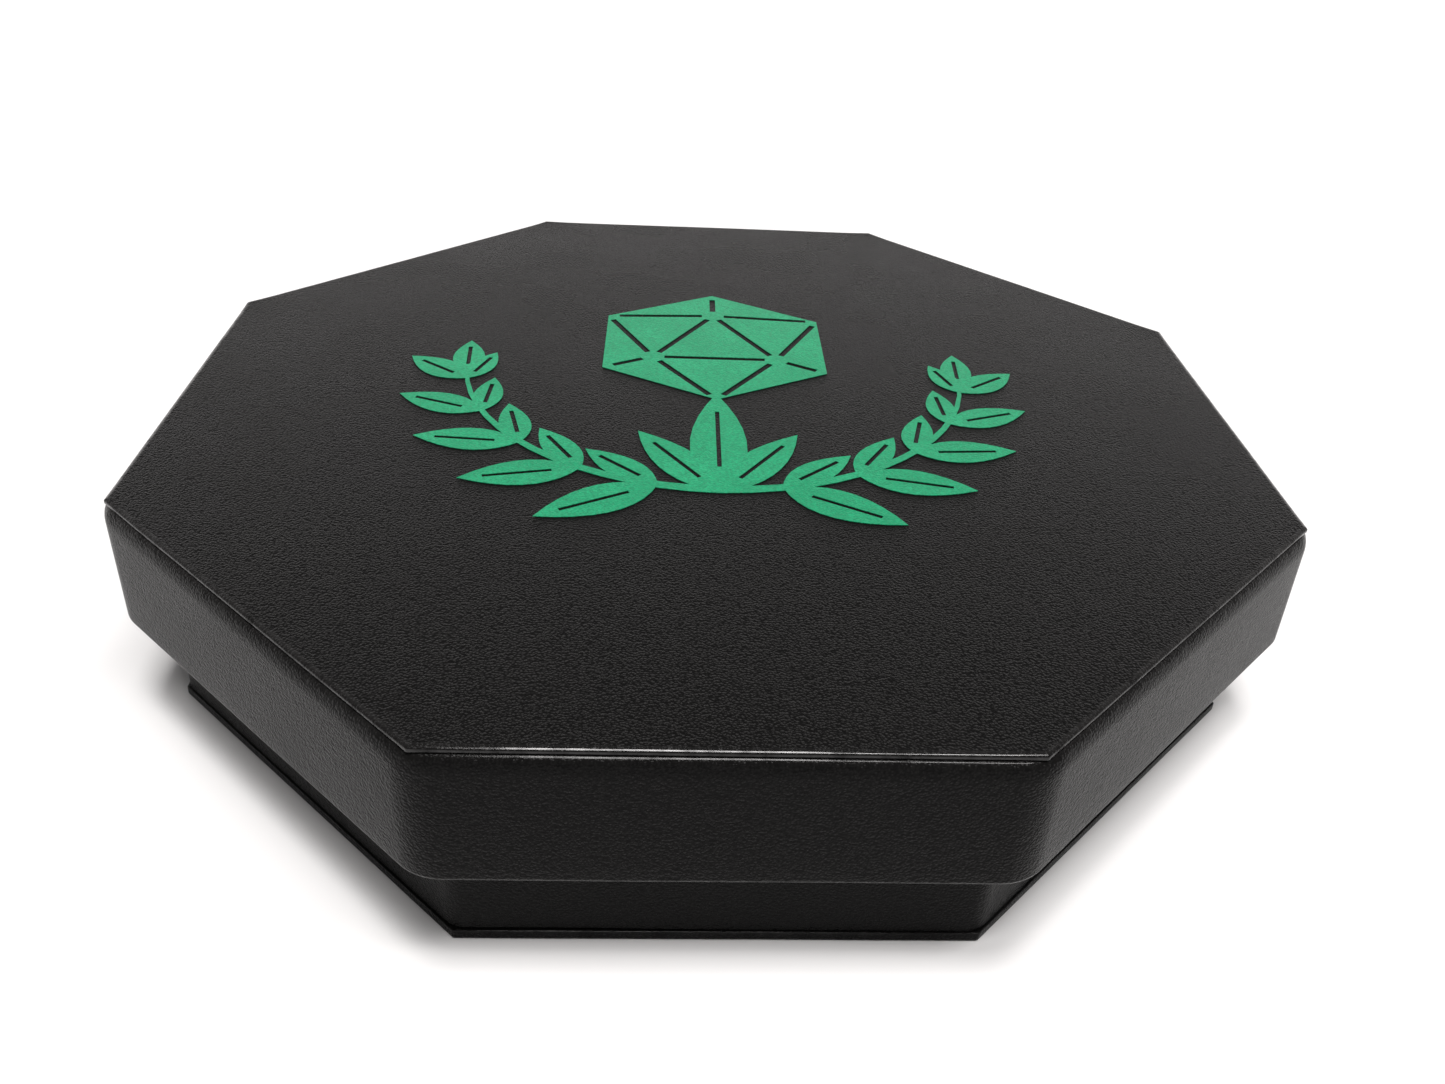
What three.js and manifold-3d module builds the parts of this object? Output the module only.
// An octagonal dice tray box with a telescoping lift-off lid, covered in black leatherette.
// Millimetres, +Z up. The origin is the centre of the underside, and a flat side faces -Y.
// Every piece is one closed solid. The base and the lid are each a ring wall of thick board,
// closed by flat boards, with thin covers and linings wrapped round them.
import * as THREE from "three";
import Module from "manifold-3d";
import { mergeVertices } from "three/addons/utils/BufferGeometryUtils.js";

const wasm = await Module();
wasm.setup();

// ---- Driving dimensions ------------------------------------------------------------------

const TOTAL_HEIGHT = 56.5;
const LID_RIM_Z = 25.4; // lower edge of the lid's wall
const PANEL_APOTHEM = 134.0; // centre to a flat side, over the cover
const LID_APOTHEM = 135.5;
const BASE_APOTHEM = 126.2;
const BASE_BOARD_APOTHEM = 126.8;
const ROLLING_APOTHEM = 97.0; // inside of the divider round the rolling area

const LID_CORNER = 12; // outside corner radii of the walls
const BASE_CORNER = 6;
const DIVIDER_CORNER = 6;
const SHARP_CORNER = 0.8; // corners of the flat wrapped boards
const LID_ROLL = 1.2; // radius of the lid wall's lower outer edge
const SHOULDER_IN = 2.2; // the lid wall's upper outer edge is a quarter ellipse
const SHOULDER_DOWN = 4;
const SMALLEST_RADIUS = 0.3;

const SKIN = 0.3; // leatherette
const VELVET = 0.5;
const GLUE = 0.1; // gap between glued layers
const WALL_BOARD = 4.5; // core of the base wall
const LID_WALL_BOARD = 5.4;
const DIVIDER_BOARD = 2.8;
const PANEL_BOARD = 0.5;
const LID_TOP_BOARD = 1.8;
const CEILING_LINING = 0.7;
const BASE_BOARD = 1.6;
const TURN_IN = 14; // width of each cover's hidden turned edge

const LID_GAP = 0.3; // lid ceiling to the base's rim
const STAGING_Z = 24.0; // top of the velvet in the dice channel
const DIVIDER_Z = 40.0;
const PAD_BOARD = 2.0;
const PAD_FOAM = 5.0;
const RISER_GAP = 0.3; // side play of the pieces that drop in
const LINING_TOP_DROP = 6; // leatherette left showing inside the base's rim

const EMBLEM_THICK = 0.15;
const EMBLEM_LIFT = 0.05;

const HALF_ANGLE = Math.PI / 8; // of an octagon's side
const CORNER_STEPS = 3;

// ---- Colours -----------------------------------------------------------------------------

const COLOURS = {
  leatherette: [0x1d1c1c, 0.5],
  board: [0xa39a8c, 0.9],
  velvet: [0x17171a, 1.0],
  foam: [0x3a3a3e, 0.95],
  film: [0x33b07c, 0.7],
};

// ---- Shape tools -------------------------------------------------------------------------

// Points round an octagon of the given apothem whose corners are arcs of the given radius.
function octagonLoop(apothem, radius) {
  const points = [];
  const arcCentre = (apothem - radius) / Math.cos(HALF_ANGLE);
  for (let corner = 0; corner < 8; corner += 1) {
    const middle = HALF_ANGLE + (corner * Math.PI) / 4;
    for (let step = 0; step <= CORNER_STEPS; step += 1) {
      const turn = middle + HALF_ANGLE * ((2 * step) / CORNER_STEPS - 1);
      points.push([
        arcCentre * Math.cos(middle) + radius * Math.cos(turn),
        arcCentre * Math.sin(middle) + radius * Math.sin(turn),
      ]);
    }
  }
  return points;
}

// Sweeps a section round the octagon. Each section point is [inset, z], where the inset is
// measured inwards from the outline. The section runs with the solid on its left, seen with
// the inset growing leftwards and z upwards. A point inset to the centre makes a flat cap.
function sweep(outline, section) {
  const positions = [];
  const triangles = [];
  const loops = section.map(([inset, z]) => {
    const apothem = outline.apothem - inset;
    const start = positions.length / 3;
    if (apothem < 1e-6) {
      positions.push(0, 0, z);
      return { start, count: 1 };
    }
    const radius = Math.max(SMALLEST_RADIUS, outline.corner - inset);
    const loop = octagonLoop(apothem, radius);
    loop.forEach(([x, y]) => positions.push(x, y, z));
    return { start, count: loop.length };
  });
  loops.forEach((from, index) => {
    const to = loops[(index + 1) % loops.length];
    const count = Math.max(from.count, to.count);
    if (count === 1) return;
    for (let i = 0; i < count; i += 1) {
      const next = (i + 1) % count;
      const a = from.start + (from.count === 1 ? 0 : i);
      const b = from.start + (from.count === 1 ? 0 : next);
      const c = to.start + (to.count === 1 ? 0 : next);
      const d = to.start + (to.count === 1 ? 0 : i);
      if (a !== b) triangles.push(a, b, c);
      if (c !== d) triangles.push(a, c, d);
    }
  });
  const geometry = new THREE.BufferGeometry();
  geometry.setAttribute("position", new THREE.Float32BufferAttribute(positions, 3));
  geometry.setIndex(triangles);
  return geometry;
}

// Points of an elliptical arc in a section, between two angles in degrees.
function arc(inset, z, radiusInset, radiusZ, from, to, steps = 3) {
  const points = [];
  for (let step = 0; step <= steps; step += 1) {
    const angle = THREE.MathUtils.degToRad(from + ((to - from) * step) / steps);
    points.push([inset - radiusInset * Math.cos(angle), z + radiusZ * Math.sin(angle)]);
  }
  return points;
}

// A flat board: a closed slab inside the outline.
function slab(outline, low, high) {
  const centre = outline.apothem;
  return sweep(outline, [[centre, low], [0, low], [0, high], [centre, high]]);
}

// A plain ring between two insets.
function band(outline, insetOut, insetIn, low, high) {
  return sweep(outline, [
    [insetIn, low],
    [insetOut, low],
    [insetOut, high],
    [insetIn, high],
  ]);
}

// A sheet wrapped over a board's flat face and edges and turned in on the far face.
function boardWrap(outline, faceZ, farZ, skin, turnIn) {
  const centre = outline.apothem;
  const up = Math.sign(faceZ - farZ);
  const section = [
    [centre, faceZ],
    [0, faceZ],
    [0, farZ],
    [turnIn, farZ],
    [turnIn, farZ + up * skin],
    [skin, farZ + up * skin],
    [skin, faceZ - up * skin],
    [centre, faceZ - up * skin],
  ];
  return sweep(outline, up > 0 ? section.reverse() : section);
}

function solidOf(geometry) {
  const bare = geometry.clone();
  bare.deleteAttribute("normal");
  bare.deleteAttribute("uv");
  const merged = mergeVertices(bare, 1e-4);
  return new wasm.Manifold(
    new wasm.Mesh({
      numProp: 3,
      vertProperties: merged.attributes.position.array,
      triVerts: new Uint32Array(merged.index.array),
    }),
  );
}

function geometryOf(solid) {
  const mesh = solid.getMesh();
  const geometry = new THREE.BufferGeometry();
  geometry.setAttribute("position", new THREE.BufferAttribute(mesh.vertProperties, 3));
  geometry.setIndex(new THREE.BufferAttribute(mesh.triVerts, 1));
  return geometry;
}

const tray = new THREE.Group();
tray.name = "octagonal_dice_tray";

function piece(name, geometry, look) {
  const [colour, roughness] = COLOURS[look];
  geometry.computeVertexNormals();
  const material = new THREE.MeshStandardMaterial({ color: colour, roughness, metalness: 0 });
  const mesh = new THREE.Mesh(geometry, material);
  mesh.name = name;
  tray.add(mesh);
}

// ---- Heights worked out from the driving dimensions ---------------------------------------

const panelThick = 2 * SKIN + 2 * GLUE + PANEL_BOARD;
const panelZ = TOTAL_HEIGHT - panelThick; // underside of the panel's cover
const lidWallTopZ = panelZ - GLUE;
const lidTopBoardTopZ = lidWallTopZ - SKIN - GLUE;
const lidTopBoardZ = lidTopBoardTopZ - LID_TOP_BOARD;
const ceilingZ = lidTopBoardZ - GLUE - CEILING_LINING;
const baseRimZ = ceilingZ - LID_GAP;
const baseBoardTopZ = 2 * SKIN + 2 * GLUE + BASE_BOARD;
const insideFloorZ = baseBoardTopZ + GLUE;

const panelOutline = { apothem: PANEL_APOTHEM, corner: SHARP_CORNER };
const lidOutline = { apothem: LID_APOTHEM, corner: LID_CORNER };
const baseOutline = { apothem: BASE_APOTHEM, corner: BASE_CORNER };
const baseBoardOutline = { apothem: BASE_BOARD_APOTHEM, corner: SHARP_CORNER };

// ---- Lid ---------------------------------------------------------------------------------

// The rounded upper outer edge of the lid's wall, that far below its outer surface.
function shoulder(top, below) {
  const down = top - SHOULDER_DOWN;
  return arc(SHOULDER_IN, down, SHOULDER_IN - below, SHOULDER_DOWN - below, 0, 90);
}

// A wall's cover runs up the outer face, over one rolled rim and under the other, and is
// turned in on the inside, so it is a C that opens inwards. The core follows it a layer in.
function lidCoverSection() {
  const inner = SKIN + GLUE + LID_WALL_BOARD + GLUE;
  const top = lidWallTopZ;
  const low = LID_RIM_Z;
  return [
    [inner, low + TURN_IN],
    [inner + SKIN, low + TURN_IN],
    [inner + SKIN, low],
    ...arc(LID_ROLL, low + LID_ROLL, LID_ROLL, LID_ROLL, -90, 0, 2),
    ...shoulder(top, 0),
    [TURN_IN + 2, top],
    [TURN_IN + 2, top - SKIN],
    ...shoulder(top, SKIN).reverse(),
    ...arc(LID_ROLL, low + LID_ROLL, LID_ROLL - SKIN, LID_ROLL - SKIN, 0, -90, 2),
    [inner, low + SKIN],
  ];
}

function lidWallBoardSection() {
  const skin = SKIN + GLUE;
  const inner = skin + LID_WALL_BOARD;
  const top = lidWallTopZ;
  const low = LID_RIM_Z;
  return [
    [inner, low + skin],
    ...arc(LID_ROLL, low + LID_ROLL, LID_ROLL - skin, LID_ROLL - skin, -90, 0, 2),
    ...shoulder(top, skin),
    [inner, top - skin],
  ];
}

const lidInner = SKIN + GLUE + LID_WALL_BOARD; // inset of the core's inner face
const lidTopOutline = {
  apothem: LID_APOTHEM - lidInner - GLUE,
  corner: LID_CORNER - lidInner - GLUE,
};

piece("lid_panel_cover", boardWrap(panelOutline, TOTAL_HEIGHT, panelZ, SKIN, TURN_IN), "leatherette");
piece(
  "lid_panel_board",
  slab(
    { apothem: PANEL_APOTHEM - SKIN - GLUE, corner: SHARP_CORNER },
    panelZ + SKIN + GLUE,
    TOTAL_HEIGHT - SKIN - GLUE,
  ),
  "board",
);
piece("lid_wall_cover", sweep(lidOutline, lidCoverSection()), "leatherette");
piece("lid_wall_board", sweep(lidOutline, lidWallBoardSection()), "board");
piece("lid_top_board", slab(lidTopOutline, lidTopBoardZ, lidTopBoardTopZ), "board");
piece(
  "lid_ceiling_velvet",
  slab(
    { apothem: lidTopOutline.apothem - RISER_GAP, corner: lidTopOutline.corner },
    ceilingZ,
    ceilingZ + CEILING_LINING,
  ),
  "velvet",
);
const liningInset = lidInner + GLUE + SKIN + GLUE;
piece(
  "lid_wall_velvet",
  band(lidOutline, liningInset, liningInset + VELVET, LID_RIM_Z + 5, ceilingZ - GLUE),
  "velvet",
);

// ---- Emblem on the lid: a twenty-sided die over two leafy sprays ----------------------------

const DIE_RADIUS = 35;
const DIE_CENTRE_Y = 36;
const DIE_FACE = 0.56; // size of the front triangle against the die's outline
const SLIT = 1.7; // width of the lines left open between the coloured areas
const SLIT_END = 3.2; // an edge's slit stops this short of each corner
const SPRAY_RADIUS = 66; // of the stems' arc round the die
const SPRAY_CENTRE_Y = 21;
const SPRAY_SWEEP = 84; // degrees of arc on each side
const STEM_WIDTH = 3.2;
const LEAF_PAIRS = 5; // along each stem
const LEAF_STEPS = 9; // points along each edge of a leaf
const CUT_DEPTH = 1;

function film(points) {
  const geometry = new THREE.ExtrudeGeometry(new THREE.Shape(points), {
    depth: EMBLEM_THICK,
    bevelEnabled: false,
  });
  geometry.translate(0, 0, TOTAL_HEIGHT + EMBLEM_LIFT);
  return solidOf(geometry);
}

// A cutter for a narrow slit between two points, stopping short of both.
function slitCutter(from, to, width, short) {
  const along = to.clone().sub(from).normalize();
  const side = new THREE.Vector2(-along.y, along.x).multiplyScalar(width / 2);
  const a = from.clone().addScaledVector(along, short);
  const b = to.clone().addScaledVector(along, -short);
  const corners = [a.clone().add(side), a.clone().sub(side), b.clone().sub(side), b.clone().add(side)];
  const geometry = new THREE.ExtrudeGeometry(new THREE.Shape(corners), {
    depth: CUT_DEPTH,
    bevelEnabled: false,
  });
  geometry.translate(0, 0, TOTAL_HEIGHT - CUT_DEPTH / 2);
  return solidOf(geometry);
}

// A point on a circle whose centre is on the lid's middle line, at that Y.
function circlePoint(centreY, radius, degrees) {
  const angle = THREE.MathUtils.degToRad(degrees);
  return new THREE.Vector2(radius * Math.cos(angle), centreY + radius * Math.sin(angle));
}

// The die seen face on: a hexagon outline and a front triangle, with each edge left open.
function die() {
  const rim = [];
  for (let k = 0; k < 6; k += 1) rim.push(circlePoint(DIE_CENTRE_Y, DIE_RADIUS, 30 + 60 * k));
  const face = [];
  for (let k = 0; k < 3; k += 1) {
    face.push(circlePoint(DIE_CENTRE_Y, DIE_RADIUS * DIE_FACE, 90 + 120 * k));
  }
  let solid = film(rim);
  face.forEach((corner, k) => {
    const others = [face[(k + 1) % 3], rim[2 * k], rim[2 * k + 1], rim[(2 * k + 2) % 6]];
    others.forEach((other) => {
      solid = solid.subtract(slitCutter(corner, other, SLIT, SLIT_END));
    });
  });
  return solid;
}

// A pointed leaf with an open midrib, rooted on the stem. Each edge is one parabola.
function leaf(root, degrees, length, width) {
  const angle = THREE.MathUtils.degToRad(degrees);
  const at = (along, across) =>
    new THREE.Vector2(
      root.x + along * Math.cos(angle) - across * Math.sin(angle),
      root.y + along * Math.sin(angle) + across * Math.cos(angle),
    );
  const shape = new THREE.Shape();
  const right = at(length * 0.4, -width);
  const left = at(length * 0.4, width);
  const tip = at(length, 0);
  shape.moveTo(root.x, root.y);
  shape.quadraticCurveTo(right.x, right.y, tip.x, tip.y);
  shape.quadraticCurveTo(left.x, left.y, root.x, root.y);
  const outline = shape.getPoints(LEAF_STEPS).slice(0, -1);
  return film(outline).subtract(slitCutter(at(length * 0.24, 0), at(length * 0.8, 0), 1.1, 0));
}

function stemPoint(radius, degrees) {
  return circlePoint(SPRAY_CENTRE_Y, radius, degrees);
}

// One spray: a tapering arc of stem with paired leaves that shrink towards its end.
function spray(side) {
  const steps = 14;
  const outer = [];
  const inner = [];
  for (let step = 0; step <= steps; step += 1) {
    const share = step / steps;
    const degrees = -90 + side * (SPRAY_SWEEP * share);
    const half = (STEM_WIDTH / 2) * (1 - 0.7 * share);
    outer.push(stemPoint(SPRAY_RADIUS + half, degrees));
    inner.push(stemPoint(SPRAY_RADIUS - half, degrees));
  }
  let solid = film([...outer, ...inner.reverse()]);
  for (let k = 0; k < LEAF_PAIRS; k += 1) {
    const share = (k + 0.75) / LEAF_PAIRS;
    const degrees = -90 + side * SPRAY_SWEEP * share;
    const root = stemPoint(SPRAY_RADIUS, degrees);
    const forward = degrees + side * 90;
    solid = solid.add(leaf(root, forward - side * 42, 33 - 13 * share, 12.5 - 3 * share));
    solid = solid.add(leaf(root, forward + side * 30, 25 - 8 * share, 9 - 2 * share));
  }
  const end = stemPoint(SPRAY_RADIUS, -90 + side * (SPRAY_SWEEP - 1));
  return solid.add(leaf(end, 90 - side * 4, 20, 8.5));
}

// Three leaves rise from where the stems meet. The middle one holds up the die.
function crown() {
  const root = new THREE.Vector2(0, SPRAY_CENTRE_Y - SPRAY_RADIUS - STEM_WIDTH / 2);
  const reach = DIE_CENTRE_Y - DIE_RADIUS - root.y;
  const sides = [-1, 1].map((side) => leaf(root, 90 + 34 * side, reach * 0.74, 11));
  return leaf(root, 90, reach + STEM_WIDTH, 14).add(sides[0]).add(sides[1]);
}

const emblem = die().add(crown()).add(spray(1)).add(spray(-1));
piece("lid_emblem", geometryOf(emblem), "film");

// ---- Base --------------------------------------------------------------------------------

const baseInner = SKIN + GLUE + WALL_BOARD; // inset of the core's inner face

function baseCoverSection() {
  const inner = baseInner + GLUE;
  const low = insideFloorZ;
  const top = baseRimZ;
  const middle = (inner + SKIN) / 2;
  return [
    [inner, low],
    [0, low],
    ...arc(middle, top - middle, middle, middle, 0, 180, 6),
    [inner + SKIN, top - TURN_IN],
    [inner, top - TURN_IN],
    ...arc(middle, top - middle, middle - SKIN, middle - SKIN, 180, 0, 6),
    [SKIN, low + SKIN],
    [inner, low + SKIN],
  ];
}

function baseWallBoardSection() {
  const skin = SKIN + GLUE;
  const top = baseRimZ;
  const middle = (baseInner + GLUE + SKIN) / 2;
  return [
    [baseInner, insideFloorZ + skin],
    [skin, insideFloorZ + skin],
    ...arc(middle, top - middle, middle - skin, middle - skin, 0, 180, 6),
  ];
}

piece("base_board_cover", boardWrap(baseBoardOutline, 0, baseBoardTopZ, SKIN, TURN_IN), "leatherette");
piece(
  "base_board",
  slab(
    { apothem: BASE_BOARD_APOTHEM - SKIN - GLUE, corner: SHARP_CORNER },
    SKIN + GLUE,
    SKIN + GLUE + BASE_BOARD,
  ),
  "board",
);
piece("base_wall_cover", sweep(baseOutline, baseCoverSection()), "leatherette");
piece("base_wall_board", sweep(baseOutline, baseWallBoardSection()), "board");
const baseLiningInset = baseInner + GLUE + SKIN + GLUE;
piece(
  "base_wall_velvet",
  band(baseOutline, baseLiningInset, baseLiningInset + VELVET, STAGING_Z - 4, baseRimZ - LINING_TOP_DROP),
  "velvet",
);

// ---- Divider round the rolling area --------------------------------------------------------

const dividerThick = DIVIDER_BOARD + 2 * (VELVET + GLUE);
const dividerOutline = { apothem: ROLLING_APOTHEM + dividerThick, corner: DIVIDER_CORNER };

function dividerCoverSection() {
  const middle = dividerThick / 2;
  const low = insideFloorZ;
  const top = DIVIDER_Z;
  return [
    [VELVET, low],
    [0, low],
    ...arc(middle, top - middle, middle, middle, 0, 180, 6),
    [dividerThick, low],
    [dividerThick - VELVET, low],
    ...arc(middle, top - middle, middle - VELVET, middle - VELVET, 180, 0, 6),
  ];
}

function dividerBoardSection() {
  const middle = dividerThick / 2;
  const skin = VELVET + GLUE;
  const rim = arc(middle, DIVIDER_Z - middle, middle - skin, middle - skin, 0, 180, 6);
  return [[dividerThick - skin, insideFloorZ], [skin, insideFloorZ], ...rim];
}

piece("divider_velvet", sweep(dividerOutline, dividerCoverSection()), "velvet");
piece("divider_board", sweep(dividerOutline, dividerBoardSection()), "board");

// ---- Raised dice channel -------------------------------------------------------------------

const riserOutline = {
  apothem: BASE_APOTHEM - baseLiningInset - VELVET - RISER_GAP,
  corner: BASE_CORNER - baseLiningInset - VELVET - RISER_GAP,
};
const riserWidth = riserOutline.apothem - dividerOutline.apothem - RISER_GAP;
const riserTopZ = STAGING_Z - VELVET - GLUE;

// The velvet folds down over the foam's two edges, so its section is a shallow channel.
function stagingVelvetSection() {
  const skirt = 3;
  return [
    [VELVET, STAGING_Z - skirt],
    [0, STAGING_Z - skirt],
    [0, STAGING_Z],
    [riserWidth, STAGING_Z],
    [riserWidth, STAGING_Z - skirt],
    [riserWidth - VELVET, STAGING_Z - skirt],
    [riserWidth - VELVET, STAGING_Z - VELVET],
    [VELVET, STAGING_Z - VELVET],
  ];
}

piece("staging_velvet", sweep(riserOutline, stagingVelvetSection()), "velvet");
piece(
  "staging_riser",
  band(riserOutline, VELVET + GLUE, riserWidth - VELVET - GLUE, insideFloorZ, riserTopZ),
  "foam",
);

// ---- Rolling pad -----------------------------------------------------------------------------

const padOutline = {
  apothem: ROLLING_APOTHEM - RISER_GAP,
  corner: DIVIDER_CORNER - dividerThick - RISER_GAP,
};
const padCoreOutline = { apothem: padOutline.apothem - VELVET - GLUE, corner: SHARP_CORNER };
const padFoamZ = insideFloorZ + PAD_BOARD + GLUE;
const padTopZ = padFoamZ + PAD_FOAM + GLUE + VELVET;

function padVelvetSection() {
  const centre = padOutline.apothem;
  return [
    [VELVET, insideFloorZ],
    [0, insideFloorZ],
    [0, padTopZ],
    [centre, padTopZ],
    [centre, padTopZ - VELVET],
    [VELVET, padTopZ - VELVET],
  ];
}

piece("rolling_pad_velvet", sweep(padOutline, padVelvetSection()), "velvet");
piece("rolling_pad_foam", slab(padCoreOutline, padFoamZ, padFoamZ + PAD_FOAM), "foam");
piece("rolling_pad_board", slab(padCoreOutline, insideFloorZ, insideFloorZ + PAD_BOARD), "board");

export default tray;
